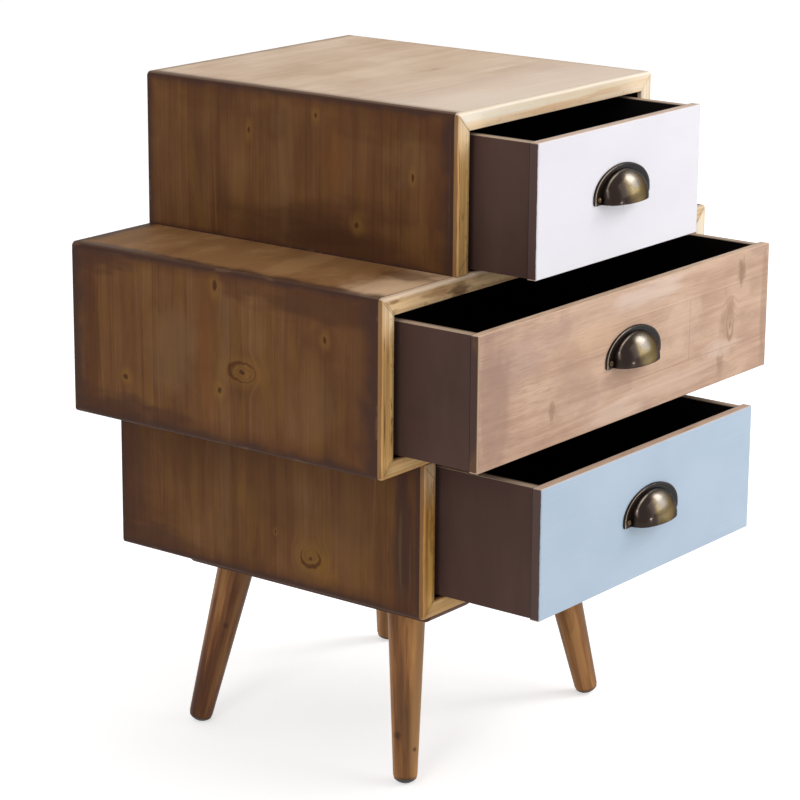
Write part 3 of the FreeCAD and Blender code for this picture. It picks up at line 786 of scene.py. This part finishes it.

# -------- drawer boxes
# The sides, back and bottom of each drawer are thin boards in a dark taupe stain.
# Inside it is painted nearly black, a dark stain with painted shade, and the stain has rubbed off along the top
# edges.
DRAWERS = ("upper", "middle", "lower")
for seed, drawer in enumerate(DRAWERS, 61):
    body = drawer + "_drawer"
    side_low, side_high = corners(body + "_side_left")
    back_low, back_high = corners(body + "_back")
    for board in ("side_left", "side_right", "back", "bottom"):
        finish = Finish("taupe_" + drawer + "_" + board)
        x, y, z = finish.place
        across = x if board == "bottom" else z
        along = x if board == "back" else y
        grain = finish.grain(along, across, x, seed, stave=90, ring=6)
        finish.colour = finish.mix(grain.fibre.fade(0.1, 0.9), (74, 52, 46), (79, 57, 50))
        finish.lay((86, 64, 57), grain.tone * 0.15)
        thin = finish.noise((0.006, 0.02, 0.01), 3, at=(across, along, x))
        finish.lay((98, 75, 69), thin.fade(0.42, 0.66) * 0.35)
        finish.lay((60, 42, 40), grain.blotch.fade(0.5, 0.7) * 0.3)
        # The inside faces below are painted nearly black: a dark stain with painted shade.
        if board == "bottom":
            top = corners(body + "_bottom")[1].z
            finish.lay(INSIDE_STAIN_AND_SHADE, z.fade(top - 0.6, top - 0.2))
        elif board == "back":
            finish.lay(INSIDE_STAIN_AND_SHADE, y.fade(back_low.y + 0.6, back_low.y + 0.2))
            finish.lay((172, 150, 128), z.fade(back_high.z - 0.5, back_high.z - 0.15))
        else:
            finish.lay(INSIDE_STAIN_AND_SHADE, abs(x).fade(0.6 - side_high.x, 0.2 - side_high.x))
            outer_part = abs(x).fade(-side_low.x - 7.5, -side_low.x - 5.5) * 0.75 + 0.25
            finish.lay((172, 150, 128), z.fade(side_high.z - 0.5, side_high.z - 0.15) * outer_part)
        dress(body + "_" + board, finish.coat(grain.fibre * 0.2 + 0.5, grain.fibre, 0.04, gloss=0.12))


# -------- drawer fronts
# Three softwood fronts: the upper is painted white, the middle washed grey beige, the lower pale blue.
# The paint stops at the arris, so the bare wood shows on top, and the ends are stained with the sides.
TAUPE = (76, 54, 48)
BARE_TOP = (198, 172, 152)
PALE_ARRIS = (228, 194, 162)


def front_edges(finish, drawer, top_colour, bare):
    """Lays the bare top, the stained ends and the rubbed arris round the face, and the nearly black back: dark stain
    with painted shade.

    Bare is 1 where the ends and the arris have lost their finish, and 0 where the paint covers them."""
    _, y, z = finish.place
    low, high = corners(drawer + "_drawer_front")
    ragged = finish.noise((0.15, 0.4, 0.15), 3)
    off_face = (ragged - 0.5 + y).fade(low.y + 0.5, low.y + 1.1)
    level_edge = z.fade(high.z - 0.9, high.z - 0.4).most(z.fade(low.z + 0.9, low.z + 0.4))
    edge_colour = finish.mix(finish.noise((0.04, 0.9, 0.4), 3).fade(0.4, 0.8), top_colour, (158, 126, 104))
    near_end = z.fade(low.z + 34, low.z + 6).most(z.fade(high.z - 20, high.z - 4))
    smeared = finish.noise((0.1, 0.1, 0.03), 3).fade(0.46, 0.6) * near_end
    ends = finish.mix(smeared * (0.3 * bare), TAUPE, (134, 98, 62))
    finish.lay(finish.mix(level_edge, ends, edge_colour), off_face)
    rubbed = y.fade(low.y + 2.2, low.y + 1.2) * y.fade(low.y + 0.1, low.y + 0.6)
    finish.lay(PALE_ARRIS, rubbed * (level_edge * 0.6).most(0.65 * bare))
    # The back of the front, inside the drawer, is painted nearly black: a dark stain with painted shade.
    finish.lay(INSIDE_STAIN_AND_SHADE, y.fade(high.y - 0.6, high.y - 0.2))


for drawer, paint, shade, pale, seed in (
    ("upper", (232, 230, 236), (229, 227, 233), (238, 236, 242), 71),
    ("lower", (171, 189, 207), (178, 195, 212), (188, 204, 220), 73),
):
    finish = Finish("paint_" + drawer)
    x, y, z = finish.place
    grain = finish.grain(z, x, y, seed, stave=54)
    face = (x, z, y)
    brush = finish.noise((0.012, 0.35, 1), 4, 0.6, at=face)
    cloud = finish.noise((0.012, 0.018, 1), at=face)
    stipple = finish.noise((1.4, 1.4, 1), at=face)
    finish.colour = finish.mix(cloud.fade(0.3, 0.7), paint, shade)
    finish.lay(pale, brush.fade(0.55, 0.75) * 0.25)
    front_edges(finish, drawer, BARE_TOP, 0)
    height = brush * 0.6 + stipple * 0.3 + grain.late * 0.25
    dress(drawer + "_drawer_front", finish.coat(stipple * 0.15 + 0.42, height, 0.06, gloss=0.3))

finish = Finish("washed_middle_front")
x, y, z = finish.place
face = (x, z, y)
grain = finish.grain(
    z, x, y, 72, stave=54, first=352, sway=0, ring=6,
    knots=[(371, 156, 15, 0.4, 0.22, 0), (352, -120, 2.2, 0.8), (418, 173, 3, 0.6)],
)
finish.colour = grain.shade.ramp(
    (0.34, (172, 138, 118)), (0.44, (190, 155, 132)), (0.52, (204, 170, 146)), (0.6, (213, 181, 158)),
    (0.68, (222, 194, 174)),
)
finish.lay((166, 130, 104), grain.late * 0.14)
finish.lay((216, 184, 158), grain.tone * 0.3)
smear = finish.noise((0.016, 0.03, 1), 4, 0.6, at=face)
finish.lay((172, 142, 126), smear.fade(0.52, 0.68) * 0.45)
speckle = finish.noise((0.06, 0.9, 1), 4, 0.65, at=face)
left_part = (smear * 120 + x).fade(20, -150)
finish.lay((158, 124, 104), speckle.fade(0.48, 0.66) * (left_part * 0.3 + 0.2))
MAUVE, SMOKE, HONEY = (170, 140, 128), (142, 110, 90), (212, 176, 142)
finish.smudge(x, z, [
    (-170, 405, 60, 26, 0.5, MAUVE), (-198, 378, 28, 74, 0.5, (148, 116, 102)), (-60, 400, 60, 14, 0.3, HONEY),
    (-85, 372, 34, 34, 0.35, (170, 136, 116)), (22, 424, 62, 13, 0.55, (228, 206, 192)),
    (76, 392, 34, 22, 0.4, (230, 198, 174)), (-24, 331, 50, 11, 0.45, (226, 200, 182)),
    (173, 416, 7, 13, 0.75, SMOKE), (150, 376, 14, 24, 0.35, SMOKE), (141, 340, 7, 16, 0.55, SMOKE),
    (-118, 351, 5, 10, 0.6, SMOKE), (-110, 420, 50, 9, 0.3, MAUVE), (215, 378, 10, 60, 0.4, SMOKE),
    (60, 338, 90, 10, 0.35, (226, 198, 178)), (156, 388, 7, 13, 0.6, (164, 130, 104)),
    (140, 352, 34, 10, 0.5, (224, 200, 182)), (196, 400, 16, 12, 0.5, (172, 140, 118)),
    (150, 330, 24, 9, 0.4, (172, 142, 120)),
])
in_middle_stave = abs(z - 379).fade(27.4, 26.6)
end_joint = abs(x - 89).fade(0.9, 0.2)
finish.lay((140, 106, 84), end_joint * in_middle_stave * 0.3)
finish.lay((188, 152, 122), grain.halo * 0.2)
finish.lay((138, 102, 76), grain.eye * 0.5)
finish.lay((146, 110, 84), grain.eye_ring * 0.6)
finish.lay((150, 114, 90), grain.joint * x.fade(-150, 60) * 0.35)
front_edges(finish, "middle", (212, 182, 156), 1)
height = grain.fibre - grain.late * 0.4
dress("middle_drawer_front", finish.coat(grain.fibre * 0.2 + 0.45, height, 0.1, gloss=0.15))

# -------- cup pulls
# Brass cup pulls, blackened all over. The olive and grey crown is partly rubbed brass, partly painted reflection
# and painted highlight. The left flank is dark patina with a painted dark reflection, the right of the plate
# is a painted dark reflection, and the thin lines along the plate's edge and the cup's shoulder are painted
# highlights.
PLATE_HALF_WIDTH = 41.5
PLATE_SKIRT = 6
PLATE_ARCH = 25
for drawer in DRAWERS:
    node = drawer + "_cup_pull"
    low, high = corners(node)
    finish = Finish("brass_" + drawer)
    x, y, z = finish.place
    out, up = high.y - y, z - low.z
    patch = finish.noise((0.11, 0.11, 0.11), 4, 0.6)
    speck = finish.noise((0.9, 0.9, 0.9), 3, 0.7)
    ragged = (patch - 0.5) * 0.9
    # Flank is 0 on the left of the cup and next to the plate, which stay dark: patina with a painted dark reflection.
    flank = out.fade(4, 10) * (patch * 6 + x).fade(-14, -7)
    # The olive patch and the grey crown sit round the lamp's glint: partly rubbed brass, partly painted reflection
    # and highlight. The olive is painted darker to the right.
    rubbed = (ragged + length((x - 5) / 19, (up - 12) / 15)).fade(1.35, 0.5) * flank
    crown = (ragged + length((x + 1) / 11, (up - 20) / 9)).fade(1.2, 0.4) * flank
    finish.colour = finish.mix(rubbed, (44, 33, 28), (124, 108, 76))
    finish.lay((122, 115, 106), crown)
    finish.lay((78, 64, 44), x.fade(6, 24) * 0.35)
    finish.lay((44, 35, 28), speck.fade(0.54, 0.7) * 0.45)
    # The right part of the plate is painted nearly black: a painted dark reflection.
    finish.lay((20, 17, 19), out.fade(3, 2.4) * x.fade(-20, 6))
    # Thin bright lines just inside the plate's edge and on the cup's shoulder are painted highlights, strongest on
    # the left.
    round_plate = length(x / PLATE_HALF_WIDTH, (up - PLATE_SKIRT).most(0) / PLATE_ARCH)
    bead = round_plate.fade(0.935, 0.952) * round_plate.fade(0.98, 0.963) * out.fade(2.4, 1.8)
    shoulder = out.fade(3.2, 3.8) * out.fade(5, 4.4) * up.fade(9, 20)
    highlight_side = (patch * 60 + x).fade(34, 4)
    finish.lay((168, 156, 138), bead.most(shoulder * 0.8) * (highlight_side * 0.8 + 0.1))
    roughness = speck * 0.16 + crown * 0.05 + 0.14
    material = finish.coat(roughness, speck, 0.02, gloss=0.5, metallic=flank * 0.25 + 0.75)
    for socket, value in (("Specular Tint", tint((120, 114, 110))), ("Coat Weight", 0.2), ("Coat Roughness", 0.1)):
        finish.shader.inputs[socket].default_value = value
    dress(node, material)

# -------- pull screws
# Two slotted round-head screws, in the same blackened brass, hold each pull to its front.
# The slots stand at whatever angle the driver left them.
SCREW_HEAD_RADIUS = 0.0023
SCREW_HEAD_HEIGHT = 0.0016
SCREW_SHANK_RADIUS = 0.00125
SCREW_LENGTH = 0.0085
SLOT_WIDTH = 0.0006

round_jig = Jig("round_head_screw", "Head radius", "Head height", "Shank radius", "Length", "Slot width")
head_radius, head_height, shank_radius, long, slot_width = round_jig.given
ball_radius = (head_height * head_height + head_radius * head_radius) / (head_height * 2)
ball = round_jig.add("GeometryNodeMeshUVSphere", {"Segments": 32, "Rings": 24, "Radius": ball_radius})
ball = round_jig.moved(ball, vector(0, 0, head_height - ball_radius))
wide = ball_radius * 4
under = round_jig.block(wide, wide, wide, vector(0, 0, wide * -0.5))
slot = round_jig.block(wide, slot_width, head_height, vector(0, 0, head_height * 1.05))
head = round_jig.cut(ball, under, slot)
round_jig.close(round_jig.set_out(round_jig.together(head, round_jig.rod(shank_radius, long, 0))))

blackened = metal("blackened_brass", (110, 92, 62), (60, 48, 34), 0.24)
for turn, drawer in enumerate(DRAWERS):
    body, node, places = drawer + "_drawer", drawer + "_pull_screws", []
    for number, (low, high) in enumerate(solids(node)):
        centre = (low + high) / 2
        slot_angle = 0.5 + 1.1 * turn + 0.8 * number
        facing = Matrix.Rotation(math.pi / 2, 3, "X") @ Matrix.Rotation(slot_angle, 3, "Z")
        places.append(((centre.x, low.y + SCREW_HEAD_HEIGHT, centre.z), {"turn": facing.to_euler()}))
    sizes = (SCREW_HEAD_RADIUS, SCREW_HEAD_HEIGHT, SCREW_SHANK_RADIUS, SCREW_LENGTH, SLOT_WIDTH)
    screws = round_jig.make(drawer + "_pull_screw_pair", places, sizes, blackened)
    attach(screws, body)
    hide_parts(node)

# -------- floor, lamps and camera
# A plain white studio sweep under a pale sky. A broad lamp stands at the front right, with a smaller one beside it,
# one overhead, one at the left and a small one low in front. The camera stands at the front left corner.
FLOOR_REACH = 30
PAPER_WHITE = 0.84
PAPER_GLOW = 0.55
SKY = 0.52

floor_mesh = bpy.data.meshes.new("studio_floor")
floor_corners = [(x * FLOOR_REACH, y * FLOOR_REACH, 0) for x, y in ((-1, -1), (1, -1), (1, 1), (-1, 1))]
floor_mesh.from_pydata(floor_corners, [], [(0, 1, 2, 3)])
floor = placed("studio_floor", floor_mesh)


def seen_directly(bench):
    """1 for camera, glossy and transmission rays, and 0 for the light that the backdrop sheds."""
    rays = bench.tree.nodes.new("ShaderNodeLightPath").outputs
    return Step(rays["Is Camera Ray"]).most(Step(rays["Is Glossy Ray"])).most(Step(rays["Is Transmission Ray"]))


paper = bpy.data.materials.new("studio_paper")
paper.use_nodes = True
bench = Bench(paper.node_tree)
matt = bench.tree.nodes["Principled BSDF"]
matt.inputs["Base Color"].default_value = (PAPER_WHITE, PAPER_WHITE, PAPER_WHITE, 1)
matt.inputs["Roughness"].default_value = 1
matt.inputs["Specular IOR Level"].default_value = 0
glow = bench.add("ShaderNodeEmission", {"Strength": seen_directly(bench) * PAPER_GLOW})
both = bench.add("ShaderNodeAddShader", {0: Step(matt.outputs[0]), 1: glow})
feed(bench.tree.nodes["Material Output"].inputs["Surface"], both)
floor_mesh.materials.append(paper)

world = bpy.data.worlds.new("studio")
world.use_nodes = True
bpy.context.scene.world = world
bench = Bench(world.node_tree)
light = bench.tree.nodes["Background"]
light.inputs["Color"].default_value = (1, 1, 1, 1)
light.inputs["Strength"].default_value = SKY
plain = bench.add("ShaderNodeBackground", {"Color": (1, 1, 1, 1), "Strength": 1})
both = bench.add("ShaderNodeMixShader", {0: seen_directly(bench), 1: Step(light.outputs[0]), 2: plain})
feed(bench.tree.nodes["World Output"].inputs["Surface"], both)

for name, place, aim, width, tall, power in (
    ("broad_lamp", (1.98, -2.64, 1.89), (0, 0, 0.35), 3, 2.6, 51),
    ("front_lamp", (1.825, -1.317, 1.964), (0, -0.17, 0.5), 0.9, 1.1, 14),
    ("top_lamp", (0.2, 0.05, 3), (0, 0, 0.59), 1.5, 1.5, 6.5),
    ("side_lamp", (-2.6, -0.6, 1.5), (0, 0, 0.35), 0.9, 1.4, 16),
    ("low_lamp", (0.57, -2.5, 0.24), (0, -0.17, 0.5), 0.09, 0.11, 3),
):
    lamp = bpy.data.lights.new(name, "AREA")
    lamp.shape = "RECTANGLE"
    lamp.size, lamp.size_y, lamp.energy = width, tall, power
    holder = placed(name, lamp)
    holder.location = place
    holder.rotation_euler = (Vector(place) - Vector(aim)).to_track_quat("Z", "Y").to_euler()
    holder.visible_camera = False

YAW, PITCH, ROLL = math.radians(-52.56), math.radians(15.44), math.radians(0.42)
AIM = Vector((-0.21613, -0.10775, 0.36801))
DISTANCE = 2.34961
FOCAL_LENGTH = 132.34365
SENSOR = 36
turned = Matrix.Rotation(YAW, 3, "Z") @ Matrix.Rotation(math.pi / 2 - PITCH, 3, "X") @ Matrix.Rotation(ROLL, 3, "Z")
optics = bpy.data.cameras.new("camera")
optics.sensor_width, optics.lens = SENSOR, FOCAL_LENGTH
camera = placed("camera", optics)
camera.matrix_world = Matrix.Translation(AIM + turned.col[2] * DISTANCE) @ turned.to_4x4()
bpy.context.scene.camera = camera
bpy.context.scene.view_settings.view_transform = "Standard"
